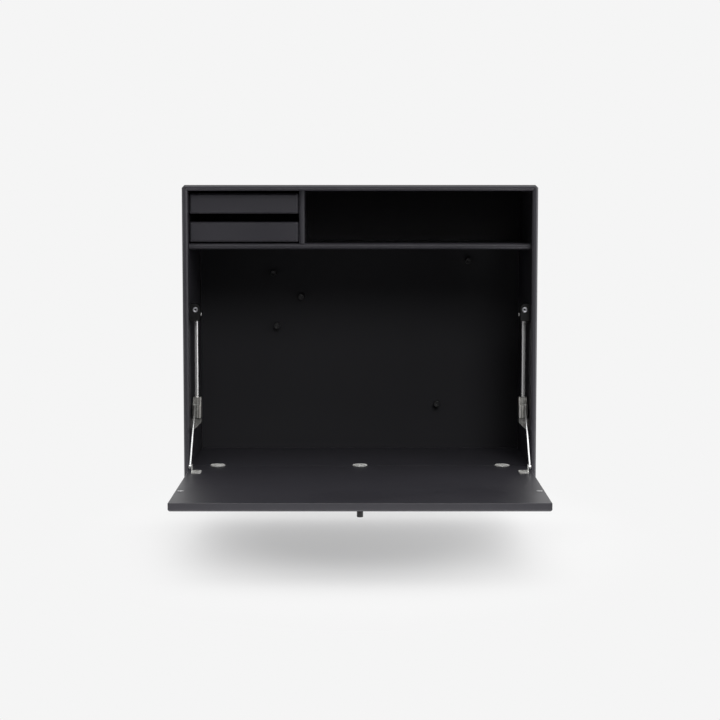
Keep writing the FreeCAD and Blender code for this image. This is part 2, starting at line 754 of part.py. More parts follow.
def across_arm(name, place, radius):
    """A disc as wide as the arm, round one of its ends."""
    return shaft(name, ("arm_x - eye_half", *place), "+x", "2 * eye_half", radius)


pivot = ("pivot_y", "pivot_z")
trunnion = ("trunnion_y", "trunnion_z")
arm_rod = doc.addObject("Part::Cylinder", "arm_rod")
bind(arm_rod, Radius="arm_radius", Height="sqrt((arm_run)^2 + (arm_rise)^2)")
arm_rod.Placement = FreeCAD.Placement(FreeCAD.Vector(), FreeCAD.Rotation(FreeCAD.Vector(-1, 0, 0), 45))
arm_rod.setExpression("Placement.Rotation.Angle", formula("atan2(arm_run; arm_rise)"))
put(arm_rod, "arm_x", *pivot)
trunnion_pin = shaft(
    "trunnion_pin", ("fitting_x + eye_radius", *trunnion), "+x",
    "slider_x - fitting_x - eye_radius", "trunnion_radius",
)
arm_joined = join("arm_joined", [
    arm_rod,
    across_arm("arm_lower_eye", pivot, "eye_radius"),
    across_arm("arm_upper_eye", trunnion, "top_eye_radius"),
    trunnion_pin,
])
arm_bore = across_arm("arm_bore", pivot, "pivot_pin_radius + running_gap")
both_sides("stay_arm", cut("stay_arm", arm_joined, [arm_bore]))

ear = prism(
    "ear_body", "YZ_Plane",
    [
        ("pivot_y - ear_radius - 2 * bracket_thickness", "floor_z"),
        ("pivot_y + ear_radius + 2 * bracket_thickness", "floor_z"),
        ("pivot_y + ear_radius", "pivot_z"),
        ("pivot_y - ear_radius", "pivot_z"),
    ],
    "ear_x - ear_thickness", "ear_thickness",
)
ear_top = shaft("ear_top", ("ear_x - ear_thickness", *pivot), "+x", "ear_thickness", "ear_radius")
bracket_plate = prism(
    "bracket_plate", "XY_Plane",
    rectangle(
        ("bracket_x", "ear_x"), ("pivot_y - bracket_half_length", "pivot_y + bracket_half_length"),
    ),
    "floor_z", "bracket_thickness",
)
ease(bracket_plate, "Fillet", "bracket_corner", upright_inner)
pin_length = "2 * eye_half + 2 * board_gap"
pivot_pin = shaft("pivot_pin", ("ear_x", *pivot), "+x", pin_length, "pivot_pin_radius")
pivot_head = shaft(
    "pivot_head", (f"ear_x + {pin_length}", *pivot), "+x", "pivot_head_height", "pivot_head_radius",
)
bracket = join("bracket", [ear, ear_top, bracket_plate, pivot_pin, pivot_head])
for number, sign in enumerate("-+"):
    y = f"pivot_y {sign} bracket_screw_span"
    for side, x, labels in (
        ("right", "bracket_screw_x", ["flap_bracket", "flap_panel"]),
        ("left", "-bracket_screw_x", ["flap_panel"]),
    ):
        screw(f"{side}_bracket_screw_{number}", (x, y, "bracket_top_z"), "-z", bracket_screws, labels)
both_sides("flap_bracket", cut("flap_bracket", bracket, cutters["flap_bracket"]))
piece("bracket_screws", group("bracket_screws", bracket_screws))

for side, x in (("left", "-1 * disc_x"), ("right", "disc_x")):
    place = (x, "hinge_y - strike_reach", "floor_z - strike_depth")
    disc = shaft(side + "_disc", place, "+z", "strike_depth + strike_proud", "disc_radius")
    hole = shaft(side + "_disc_hole", place, "+z", "strike_depth + strike_proud", "disc_hole_radius")
    piece(side + "_strike_disc", cut(side + "_strike_disc", disc, [hole]))
    low = (*place[:2], "floor_z - strike_depth - running_gap")
    cutters["flap_panel"].append(
        shaft(side + "_strike_pocket", low, "+z", "2 * strike_depth", "disc_radius + slip")
    )


# The flap knob and its stud

knob = turned(
    "knob_body", "-z",
    [
        ("0", "0"),
        ("knob_neck_radius", "0"),
        ("knob_radius", "knob_length / 3"),
        ("knob_radius", "knob_length - knob_edge"),
        ("knob_radius - knob_edge", "knob_length"),
        ("0", "knob_length"),
    ],
    ("0", "knob_y", "floor_z - flap_thickness"),
)
stud_place = ("0", "knob_y", "floor_z - flap_thickness - stud_in_knob")
piece("knob_stud", shaft("knob_stud", stud_place, "+z", "stud_in_knob + stud_in_flap", "stud_radius"))
stud_hole = shaft(
    "stud_hole", ("0", "knob_y", "floor_z - flap_thickness - stud_in_knob - slip"), "+z",
    "stud_in_knob + stud_in_flap + 2 * slip", "stud_radius + slip",
)
piece("flap_knob", cut("flap_knob", knob, [stud_hole]))
cutters["flap_panel"].append(stud_hole)


# The magnets on the back, each a turned knob with a dimple in its face

for number in range(1, 6):
    name = f"board_magnet_{number}"
    piece(name, turned(
        name + "_body", "-y",
        [
            ("0", "0"),
            ("magnet_knob_radius", "0"),
            ("magnet_knob_radius", "magnet_knob_length - knob_edge"),
            ("magnet_knob_radius - knob_edge", "magnet_knob_length"),
            ("dimple_radius", "magnet_knob_length"),
            ("0", "magnet_knob_length - dimple_radius"),
        ],
        (f"magnet_{number}_x", "steel_y - slip", f"shelf_z - magnet_{number}_drop"),
    ))


# The drawers and their runners

def drawer(name, low):
    bottom_z = f"{low} + bottom_lift"
    runner_z = f"{low} + runner_rise"
    board = prism(
        name + "_front_body", "XZ_Plane",
        rectangle(("drawer_left", "drawer_right"), (low, f"{low} + drawer_height")),
        "drawer_y + drawer_front", "drawer_front",
    )
    ease(board, "Chamfer", "drawer_corner", along_y)
    ease(board, "Chamfer", "drawer_bevel", front)
    groove = box(
        name + "_bottom_groove",
        ("bottom_left - slip", "bottom_right + slip"),
        ("drawer_y + drawer_front - bottom_groove - slip", "drawer_rear_y + slip"),
        (f"{bottom_z} - slip", f"{bottom_z} + drawer_bottom + slip"),
    )
    piece(name + "_front", cut(name + "_front", board, [groove]))
    wall_y = ("drawer_y + drawer_front", "drawer_rear_y")
    wall_z = (f"{low} + drawer_inset", f"{low} + drawer_wall_height")
    for side, wall_x, slot_x, strip_x in (
        ("left", ("wall_left", "wall_left + drawer_wall"),
         ("wall_left - slip", "-inner_half + runner_thickness + board_gap"),
         ("-inner_half", "-inner_half + runner_thickness")),
        ("right", ("wall_right - drawer_wall", "wall_right"),
         ("divider_x - runner_thickness - board_gap", "wall_right + slip"),
         ("divider_x - runner_thickness", "divider_x")),
    ):
        wall = box(f"{name}_{side}_wall", wall_x, wall_y, wall_z)
        slot = box(
            f"{name}_{side}_slot", slot_x, ("runner_y - board_gap", "drawer_rear_y + slip"),
            (f"{runner_z} - runner_height / 2 - board_gap", f"{runner_z} + runner_height / 2 + board_gap"),
        )
        piece(f"{name}_{side}_side", cut(f"{name}_{side}_side", wall, [groove, slot]))
        runner(name, side, strip_x, runner_z)
    piece(name + "_back", box(
        name + "_back",
        ("wall_left + drawer_wall", "wall_right - drawer_wall"),
        ("drawer_rear_y - drawer_back", "drawer_rear_y"),
        (f"{bottom_z} + drawer_bottom", f"{low} + drawer_wall_height"),
    ))
    piece(name + "_bottom", box(
        name + "_bottom",
        ("bottom_left", "bottom_right"),
        ("drawer_y + drawer_front - bottom_groove", "drawer_rear_y"),
        (bottom_z, f"{bottom_z} + drawer_bottom"),
    ))


def runner(name, side, strip_x, middle_z):
    """A strip that the groove of a drawer side slides on, with a bevelled front end."""
    label = f"{name.split('_')[0]}_{side}_runner"
    fixed, free = strip_x if side == "left" else strip_x[::-1]
    lead = f"{free} - runner_lead" if side == "left" else f"{free} + runner_lead"
    strip = prism(
        label + "_body", "XY_Plane",
        [
            (fixed, "runner_y"),
            (fixed, "runner_end_y"),
            (free, "runner_end_y"),
            (free, "runner_y + runner_lead"),
            (lead, "runner_y"),
        ],
        f"{middle_z} - runner_height / 2", "runner_height",
    )
    holed(label, strip)
    toward, panel = ("-x", "left_side_panel") if side == "left" else ("+x", "divider")
    for number, y in enumerate(("runner_y + runner_screw_inset", "runner_end_y - runner_screw_inset")):
        screw(f"{label}_screw_{number}", (free, y, middle_z), toward, cabinet_screws, [label, panel])


drawer("lower_drawer", "lower_z")
drawer("upper_drawer", "upper_z")


# The hangers behind the back board and their wall plates

across_plate = ("plate_inner_x", "plate_outer_x")
hanger = join("hanger", [
    box("hanger_plate", ("plate_inner_x", "inner_half"), ("back_y", "back_y + sheet_metal"),
        ("plate_low_z", "hook_top_z")),
    box("hanger_flange", ("inner_half - sheet_metal", "inner_half"), ("back_y", "-1 * hook_inset"),
        ("plate_low_z", "hook_top_z")),
    box("hanger_web", across_plate, ("back_y", "-1 * hook_inset"), ("hook_z", "hook_top_z")),
    box("hanger_hook", across_plate, ("-1 * hook_inset - sheet_metal", "-1 * hook_inset"),
        ("hook_end_z", "hook_top_z")),
])
for number, z in enumerate(("-1 * wall_screw_rise", "wall_screw_rise")):
    place = ("back_y / 2", z)
    for side, x, toward, labels in (
        ("right", "inner_half - sheet_metal", "+x", ["hanger", "right_side_panel"]),
        ("left", "-inner_half + sheet_metal", "-x", ["left_side_panel"]),
    ):
        screw(f"{side}_hanger_screw_{number}", (x, *place), toward, cabinet_screws, labels)
both_sides("hanger", cut("hanger_drilled", hanger, cutters["hanger"]))

wall_plate = join("wall_plate", [
    box("plate_leg", across_plate, ("-1 * sheet_metal", "0"), ("plate_low_z", "plate_step_z")),
    box("plate_step", across_plate, ("lip_y", "0"), ("plate_step_z - sheet_metal", "plate_step_z")),
    box("plate_lip", across_plate, ("lip_y", "lip_y + sheet_metal"),
        ("plate_step_z - sheet_metal", "lip_top_z")),
])
wall_holes = [
    shaft(f"wall_hole_{number}", ("wall_plate_x", "-1 * sheet_metal - slip", z), "+y",
          "sheet_metal + 2 * slip", "wall_hole_radius")
    for number, z in enumerate(("-1 * wall_screw_rise", "wall_screw_rise"))
]
both_sides("wall_plate", cut("wall_plate_drilled", wall_plate, wall_holes))


# Cut every hole, check the pieces and write them

for label, blank in blanks.items():
    piece(label, cut(label, blank, cutters[label]) if label in cutters else blank)
piece("cabinet_screws", group("cabinet_screws", cabinet_screws))

doc.recompute()
for thing in doc.Objects:
    if "Invalid" in thing.State or "Error" in thing.State:
        raise RuntimeError(f"{thing.Name} failed: {thing.State}")
os.makedirs("parts", exist_ok=True)
for thing in pieces:
    if thing.Shape.isNull() or not thing.Shape.isValid() or not thing.Shape.Solids:
        raise RuntimeError(f"{thing.Label} has no valid solid")
    thing.Shape.exportStep(f"parts/{thing.Label}.step")
print(len(pieces), "pieces written")
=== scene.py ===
import json
import math

import bmesh
import bpy
from mathutils import Matrix, Vector


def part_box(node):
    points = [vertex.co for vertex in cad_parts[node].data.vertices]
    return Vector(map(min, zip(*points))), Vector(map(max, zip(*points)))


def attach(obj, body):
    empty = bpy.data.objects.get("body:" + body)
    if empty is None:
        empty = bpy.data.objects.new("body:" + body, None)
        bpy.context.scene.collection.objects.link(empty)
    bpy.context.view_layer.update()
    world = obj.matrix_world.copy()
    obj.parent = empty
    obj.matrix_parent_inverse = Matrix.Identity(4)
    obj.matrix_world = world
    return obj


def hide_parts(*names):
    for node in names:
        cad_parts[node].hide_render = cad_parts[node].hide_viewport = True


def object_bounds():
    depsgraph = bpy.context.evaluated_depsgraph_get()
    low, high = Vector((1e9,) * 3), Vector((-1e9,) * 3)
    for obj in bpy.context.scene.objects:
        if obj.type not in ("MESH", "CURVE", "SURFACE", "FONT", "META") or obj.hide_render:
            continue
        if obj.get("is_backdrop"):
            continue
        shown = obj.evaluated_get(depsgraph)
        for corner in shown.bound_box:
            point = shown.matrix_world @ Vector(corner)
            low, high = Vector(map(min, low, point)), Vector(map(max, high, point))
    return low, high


# A fold down wall desk in anthracite lacquer, with its flap open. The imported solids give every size
# and place. This script gives them their finishes, rounds their edges, makes the rods, knobs, discs
# and screws afresh, and adds the clamp screws and the hinges' caps. Metres, +Z up, the front faces -Y.

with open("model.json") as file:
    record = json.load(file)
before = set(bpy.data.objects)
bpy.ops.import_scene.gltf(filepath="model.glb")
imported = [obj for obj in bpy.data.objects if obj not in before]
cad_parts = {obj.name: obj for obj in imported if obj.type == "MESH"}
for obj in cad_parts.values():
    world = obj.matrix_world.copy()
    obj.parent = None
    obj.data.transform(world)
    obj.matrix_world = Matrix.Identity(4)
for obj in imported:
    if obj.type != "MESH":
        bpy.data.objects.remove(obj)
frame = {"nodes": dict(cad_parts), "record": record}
cad_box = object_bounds()
nodes = frame["nodes"]
bodies = frame["record"]["behaviour"]["bodies"]
slot_of = {part["node"]: part["material_slot"] for part in frame["record"]["subparts"]}
body_of = {node: body for body, members in bodies.items() for node in members}

MM = 0.001
WELD = 0.005 * MM  # verts nearer than this are one
FLAT = math.radians(0.5)  # edges flatter than this go
SHARP = math.radians(25)  # edges sharper than this are rounded
CREASE = math.radians(40)  # edges sharper than this show as a crease
ROUND = 64  # steps of a full turn


def middle(label):
    """The middle of a CAD piece and half its size."""
    low, high = (Vector(corner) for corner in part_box(label))
    return (low + high) / 2, (high - low) / 2


HINGE_AXIS = middle("hinge_pins")[0]
FLOOR_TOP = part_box("floor_board")[1][2]


# Finishes, written as expressions on a material's nodes

class Value:
    """A number, colour or vector that a finish works out. Arithmetic on it adds Math nodes."""

    def __init__(self, finish, socket):
        self.finish = finish
        self.socket = socket

    def maths(self, operation, first, second):
        return self.finish.node("Math", {"operation": operation}, {0: first, 1: second})

    def __add__(self, other):
        return self.maths("ADD", self, other)

    def __sub__(self, other):
        return self.maths("SUBTRACT", self, other)

    def __rsub__(self, other):
        return self.maths("SUBTRACT", other, self)

    def __mul__(self, other):
        return self.maths("MULTIPLY", self, other)

    def __abs__(self):
        return self.maths("ABSOLUTE", self, 0)

    __radd__ = __add__
    __rmul__ = __mul__


class Finish:
    """The nodes of one material, or of the world, whose patterns sit on the object's own coordinates."""

    def __init__(self, name, shader="BsdfPrincipled", kind="materials", output="OutputMaterial"):
        self.made = getattr(bpy.data, kind).new(name)
        self.made.use_nodes = True
        self.tree = self.made.node_tree
        self.tree.nodes.clear()
        self.end = self.tree.nodes.new("ShaderNode" + output).inputs["Surface"]
        self.surface = self.node(shader)
        self.feed(self.end, self.surface)

    def feed(self, socket, value):
        if isinstance(value, Value):
            self.tree.links.new(value.socket, socket)
        else:
            socket.default_value = value

    def node(self, kind, settings=None, sockets=None, out=0):
        """A node of one type, with its settings made first and then its sockets' values or links."""
        made = self.tree.nodes.new("ShaderNode" + kind)
        for name, setting in (settings or {}).items():
            setattr(made, name, setting)
        for name, value in (sockets or {}).items():
            self.feed(made.inputs[name], value)
        return Value(self, made.outputs[out])

    def set(self, **sockets):
        """Values or links of the surface shader's sockets, named with underscores for spaces."""
        inputs = self.surface.socket.node.inputs
        for name, value in sockets.items():
            self.feed(inputs[name.replace("_", " ")], value)
        return self

    def place(self, stretch=(1, 1, 1)):
        """The place on the object, in metres, times a factor along each axis."""
        return self.node("Mapping", None, {"Vector": self.node("TexCoord", out="Object"), "Scale": stretch})

    def noise(self, scale, detail, place=None):
        sockets = {"Vector": place or self.place(), "Scale": scale, "Detail": detail}
        return self.node("TexNoise", {"noise_dimensions": "3D"}, sockets)

    def between(self, value, low, high):
        """0 below low, 1 above high and smooth between them."""
        limits = {"Value": value, "From Min": low, "From Max": high}
        return self.node("MapRange", {"interpolation_type": "SMOOTHSTEP"}, limits)

    def mix(self, amount, first, second):
        """Two colours mixed by an amount."""
        first, second = (tone if isinstance(tone, Value) else (*tone, 1) for tone in (first, second))
        return self.node("Mix", {"data_type": "RGBA"}, {0: amount, 6: first, 7: second}, out=2)

    def band(self, axis, low, high):
        """1 between two distances from the origin along an axis, in millimetres, and 0 outside them."""
        soft = 0.2
        along = abs(self.node("SeparateXYZ", None, {"Vector": self.place()}, out=axis))
        inside = self.between(along, (low - soft) * MM, (low + soft) * MM)
        return inside * self.between(along, (high + soft) * MM, (high - soft) * MM)

    def marked(self, colour, marks):
        """A colour with bands of other tones, each with its axis, its two distances and its tone."""
        for axis, low, high, tone in marks:
            colour = self.mix(self.band(axis, low, high), colour, tone)
        return colour

    def bump(self, height, depth):
        """A normal from a height of 0 to 1 and the depth in metres that it stands for."""
        return self.node("Bump", None, {"Height": height, "Distance": depth, "Strength": 1.0})


LACQUER_TONES = (0.0217, 0.0207, 0.0257), (0.0274, 0.0261, 0.0323)
# The tone of the painted shade in the seam's gap.
SHADED = (0.002, 0.002, 0.0025)
# The tone of painted shade where the parts of the stays meet.
JOINT_SHADE = (0.03, 0.03, 0.03)
# The tone of chrome with painted shade, where the arm runs inside the slider.
SHADED_CHROME = (0.24, 0.24, 0.23)


def lacquer(name, dark, light, shade_band=None):
    """Sprayed matt lacquer: a faint mottle, fine orange peel, and a few patches rubbed smoother.
    A band between two distances on Y, where given, is matt and painted dark as the shade of the seam's gap."""
    finish = Finish(name)
    mottle = finish.noise(7, 3)
    peel = finish.noise(520, 2)
    grain = finish.noise(2600, 1)
    rubbed = finish.between(finish.noise(3.1, 4), 0.5, 0.68)
    colour = finish.mix(mottle * 0.7 + grain * 0.3, dark, light)
    roughness = 0.36 + 0.07 * grain - 0.06 * rubbed
    # The band at the seam is painted shade of the gap between the boards, and is matt.
    if shade_band:
        colour = finish.marked(colour, [("Y", *shade_band, SHADED)])
        roughness = roughness + 0.5 * finish.band("Y", *shade_band)
    return finish.set(
        Base_Color=colour,
        Roughness=roughness,
        Normal=finish.bump(peel * 0.7 + grain * 0.3, 0.018 * MM),
    )


def powder_coat(name, dark, light):
    """Powder coat on sheet steel: a fine even pebble."""
    finish = Finish(name)
    mottle = finish.noise(5, 2)
    pebble = finish.noise(1100, 3)
    return finish.set(
        Base_Color=finish.mix(mottle * 0.5 + pebble * 0.5, dark, light),
        Roughness=0.6 + 0.1 * pebble,
        Specular_IOR_Level=0.12,
        Normal=finish.bump(pebble, 0.04 * MM),
    )


def chrome(name, tone, metallic, dull_shaded_above=0.0, marks=()):
    """Polished chrome, with the faint lengthwise lines of drawn steel. Above a height it is matt and
    painted darker, as shade.
    """
    finish = Finish(name)
    lines = finish.noise(900, 2, finish.place((1, 1, 0.02)))
    haze = finish.between(finish.noise(14, 3), 0.45, 0.75)
    height = finish.node("SeparateXYZ", None, {"Vector": finish.place()}, out="Z")
    fade = 28 * MM
    dull_and_shaded = finish.between(height, dull_shaded_above - fade, dull_shaded_above)
    bright = finish.mix(haze, (tone, tone, tone), (0.93 * tone, 0.93 * tone, 0.92 * tone))
    return finish.set(
        Base_Color=finish.marked(finish.mix(dull_and_shaded, bright, SHADED_CHROME), marks),
        Metallic=metallic,
        Roughness=0.07 + 0.06 * lines + 0.05 * haze + 0.4 * dull_and_shaded,
        Normal=finish.bump(lines, 0.003 * MM),
    )


def casting(name, dark, light, roughness, marks=()):
    """Die-cast zinc under satin nickel: a fine grain, and cloudy patches that are darker and duller."""
    finish = Finish(name)
    cloud = finish.between(finish.noise(120, 4), 0.35, 0.7)
    grain = finish.noise(2400, 2)
    return finish.set(
        Base_Color=finish.marked(finish.mix(cloud, dark, light), marks),
        Metallic=1.0,
        Roughness=roughness + 0.12 * grain - 0.06 * cloud,
        Normal=finish.bump(grain * 0.6 + cloud * 0.4, 0.02 * MM),
    )


def brushed(name, dark, light, stretch, marks=()):
    """Brushed or turned metal: fine lines along one direction."""
    finish = Finish(name)
    lines = finish.noise(1500, 3, finish.place(stretch))
    cloud = finish.noise(60, 3)
    return finish.set(
        Base_Color=finish.marked(finish.mix(lines * 0.6 + cloud * 0.4, dark, light), marks),
        Metallic=1.0,
        Roughness=0.26 + 0.16 * lines,
        Normal=finish.bump(lines, 0.006 * MM),
    )


def moulded(name, dark, light, roughness, shine=0.5):
    """Moulded plastic: a fine spark-eroded texture."""
    finish = Finish(name)
    texture = finish.noise(1900, 3)
    cloud = finish.noise(35, 2)
    return finish.set(
        Base_Color=finish.mix(cloud, dark, light),
        Roughness=roughness + 0.12 * texture,
        Specular_IOR_Level=shine,
        Normal=finish.bump(texture, 0.03 * MM),
    )


def satin_plate(name, dark, light, metallic, roughness, marks=()):
    """Pressed or turned steel under satin nickel, matt enough to look pale from every side."""
    finish = Finish(name)
    grain = finish.noise(2100, 2)
    cloud = finish.noise(90, 3)
    return finish.set(
        Base_Color=finish.marked(finish.mix(grain * 0.5 + cloud * 0.5, dark, light), marks),
        Metallic=metallic,
        Roughness=roughness + 0.12 * grain,
        Normal=finish.bump(grain, 0.01 * MM),
    )


def galvanised(name):
    """Zinc plated sheet: crystals of slightly different grey and gloss."""
    finish = Finish(name)
    sockets = {"Vector": finish.place(), "Scale": 260, "Randomness": 1.0}
    crystals = finish.node("TexVoronoi", {"feature": "F1"}, sockets, out="Color")
    grey = finish.node("RGBToBW", None, {"Color": crystals})
    grain = finish.noise(1400, 2)
    return finish.set(
        Base_Color=finish.mix(grey, (0.42, 0.43, 0.45), (0.62, 0.63, 0.64)),
        Metallic=1.0,
        Roughness=0.3 + 0.14 * grey + 0.08 * grain,
        Normal=finish.bump(grain, 0.008 * MM),
    )


# One finish for each material slot of the record

finishes = {
    "lacquered_board": lacquer("lacquered_board", *LACQUER_TONES),
    "drawer_board": lacquer("drawer_board", (0.0212, 0.0202, 0.0248), (0.0268, 0.0256, 0.0315)),
    "painted_steel_sheet": powder_coat(
        "painted_steel_sheet", (0.0175, 0.0172, 0.0195), (0.0228, 0.0224, 0.0252),
    ),
    "chromed_steel": chrome("chromed_steel", 0.94, 0.74),
    "zinc_casting": casting("zinc_casting", (0.34, 0.335, 0.315), (0.5, 0.49, 0.465), 0.36),
    "hinge_nickel": satin_plate("hinge_nickel", (0.44, 0.44, 0.425), (0.53, 0.53, 0.51), 0.15, 0.36),
    "bright_steel": brushed("bright_steel", (0.5, 0.5, 0.52), (0.66, 0.66, 0.68), (1, 1, 0.05)),
    "black_plastic": moulded("black_plastic", (0.0025, 0.0025, 0.0027), (0.005, 0.005, 0.0054), 0.42, 0.22),
    "runner_plastic": moulded("runner_plastic", (0.017, 0.017, 0.018), (0.024, 0.024, 0.025), 0.45),
    "black_metal": moulded("black_metal", (0.008, 0.008, 0.0088), (0.0135, 0.0135, 0.0143), 0.3),
    "galvanised_steel": galvanised("galvanised_steel"),
    "screw_steel": brushed("screw_steel", (0.42, 0.41, 0.38), (0.64, 0.63, 0.6), (1, 1, 1)),
}

# Finishes of single pieces. Their marks are bands between two distances from the origin, in
# millimetres: painted shade in the seam's gap, painted shade in the joints of the stays, a painted
# highlight on the slider's inner flank, the bracket's darker ear, and painted shade inside the discs and
# magnets.

# The seam's painted shade reaches this far to either side of the hinge axis, in millimetres.
SEAM_SHADE_REACH = 2.4
SEAM_SHADE_BAND = [abs(HINGE_AXIS.y) / MM + reach for reach in (-SEAM_SHADE_REACH, SEAM_SHADE_REACH)]

seam_lacquer = lacquer("seam_lacquer", *LACQUER_TONES, SEAM_SHADE_BAND)
# The arm is matt and painted dark above a height, as shade where it runs inside the slider, and has painted
# joint shade at its lower eye.
arm_chrome = chrome("arm_chrome", 0.86, 0.8, dull_shaded_above=-0.478, marks=[("Z", 583, 584.4, JOINT_SHADE)])
# The slider has a painted highlight on its inner flank, and painted shade in the gap beside it and at its
# foot.
slider_casting = casting(
    "slider_casting", (0.36, 0.355, 0.335), (0.54, 0.53, 0.505), 0.36,
    [("X", 370, 378.4, (0.66, 0.645, 0.61)), ("X", 378.8, 380.2, JOINT_SHADE), ("Z", 486.3, 489, JOINT_SHADE)],
)
# The foot has painted shade at its joint with the slider.
foot_casting = casting(
    "foot_casting", (0.22, 0.22, 0.21), (0.5, 0.49, 0.465), 0.4,
    [("Z", 486, 488.6, JOINT_SHADE)],
)
plate_steel = satin_plate(
    "plate_steel", (0.5, 0.5, 0.48), (0.68, 0.68, 0.65), 0.3, 0.36,
    [("Z", 560, 592, (0.26, 0.26, 0.25))],
)
disc_steel = brushed(
    "disc_steel", (0.55, 0.55, 0.56), (0.7, 0.7, 0.71), (1, 1, 0.05),
    [("Z", 596.1, 600, (0.08, 0.08, 0.08))],
)
magnet_steel = brushed(
    "magnet_steel", (0.42, 0.42, 0.45), (0.58, 0.58, 0.61), (1, 1, 0.05),
    [("Y", 308, 315.9, (0.01, 0.01, 0.01))],
)
# A paler copy of the screw steel for the clamp screws: partly their satin finish and partly a painted
# highlight on their heads.
screw_painted_highlight = satin_plate("screw_painted_highlight", (0.75, 0.75, 0.74), (0.86, 0.86, 0.84), 0.3, 0.3)


# Making a piece

def soften(shape, radius, shortest=0.0, spare=None, segments=2):
    """Round the sharp edges of a bmesh that are long enough, but not those that spare picks."""
    bmesh.ops.recalc_face_normals(shape, faces=shape.faces)
    edges = [
        edge for edge in shape.edges
        if edge.is_manifold and edge.calc_length() > shortest and edge.calc_face_angle() > SHARP
        and not (spare and spare(edge))
    ]
    bmesh.ops.bevel(
        shape, geom=edges, offset=radius, affect="EDGES", segments=segments, profile=0.5, material=-1,
        clamp_overlap=True,
    )


def show(name, shape, slot, body, stands_for=(), finish=None):
    """Turn a bmesh into a piece on a body. It takes a material slot, or a finish of its own in it."""
    bmesh.ops.recalc_face_normals(shape, faces=shape.faces)
    mesh = bpy.data.meshes.new(name)
    shape.to_mesh(mesh)
    shape.free()
    mesh.materials.append((finish or finishes[slot]).made)
    mesh.shade_smooth()
    mesh.set_sharp_from_angle(angle=CREASE)
    made = bpy.data.objects.new(name, mesh)
    bpy.context.scene.collection.objects.link(made)
    weighted = made.modifiers.new("weighted normals", "WEIGHTED_NORMAL")
    weighted.keep_sharp = True
    weighted.weight = 100  # the large faces decide, and so shade flat
    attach(made, body)
    if stands_for:
        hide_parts(*stands_for)


def rounded(label, radius, shortest, spare=None, finish=None):
    """A copy of a CAD piece with its sharp edges rounded, which stands for it."""
    shape = bmesh.new()
    shape.from_mesh(nodes[label].data)
    bmesh.ops.remove_doubles(shape, verts=shape.verts, dist=WELD)
    bmesh.ops.dissolve_limit(shape, angle_limit=FLAT, verts=shape.verts, edges=shape.edges)
    soften(shape, radius, shortest, spare)
    show(label + "_finished", shape, slot_of[label], body_of[label], (label,), finish)


def turn(profile, radius):
    """A bmesh turned about Z from radii and heights in millimetres, with its rims rounded."""
    shape = bmesh.new()
    points = [shape.verts.new((reach * MM, 0, height * MM)) for reach, height in profile]
    lines = [shape.edges.new(pair) for pair in zip(points, points[1:])]
    bmesh.ops.spin(
        shape, geom=points + lines, cent=(0, 0, 0), axis=(0, 0, 1), dvec=(0, 0, 0), angle=2 * math.pi,
        steps=ROUND, use_merge=True, use_duplicate=False,
    )
    bmesh.ops.remove_doubles(shape, verts=shape.verts, dist=WELD)
    soften(shape, radius * MM, segments=3)
    return shape


def put(shape, place, toward=(0, 0, 1)):
    """Move a bmesh that stands on the origin to its place, with its top toward a direction."""
    turned = Vector(toward).to_track_quat("Z", "Y").to_matrix().to_4x4()
    bmesh.ops.transform(shape, matrix=Matrix.Translation(place) @ turned, verts=shape.verts)
    return shape


# The boards. Each call gives the radius and the shortest edge that it rounds. The edges at the seam
# stay as sharp as they are cut.

SEAM_REACH = 6 * MM
EDGE = 0.5 * MM


def at_seam(edge):
    return all(abs(vertex.co.y - HINGE_AXIS.y) < SEAM_REACH for vertex in edge.verts)


BOARDS = [
    "top_panel", "bottom_panel", "left_side_panel", "right_side_panel", "shelf", "divider",
    "upper_drawer_front", "lower_drawer_front",
]
for label in BOARDS:
    rounded(label, EDGE, 2.5 * MM)
for label in ("floor_board", "flap_panel"):
    rounded(label, EDGE, 9 * MM, at_seam, seam_lacquer)
for drawer in ("upper_drawer", "lower_drawer"):
    for part in ("left_side", "right_side", "back"):
        rounded(f"{drawer}_{part}", EDGE, 5 * MM)


# The stays. Outlines are radii and heights in millimetres, from a piece's foot up.

MAGNET = [(1.9, 0), (6, 0), (6, 6), (4.8, 6), (4.4, 5.7), (2.6, 5.7), (1.9, 5.1), (1.9, 0)]
STRIKE = [(2.2, 0), (7, 0), (7, 2.9), (2.9, 2.9), (2.2, 2.3), (2.2, 0)]
CLAMP = [(0, 0.5), (1.4, 0.6), (1.5, 1.6), (2.6, 1.5), (3.6, 1.1), (4, 0.5), (4, 0), (0, 0)]
CLAMP_RISE = 13.6 * MM  # the clamp screw's height above the catch block's foot

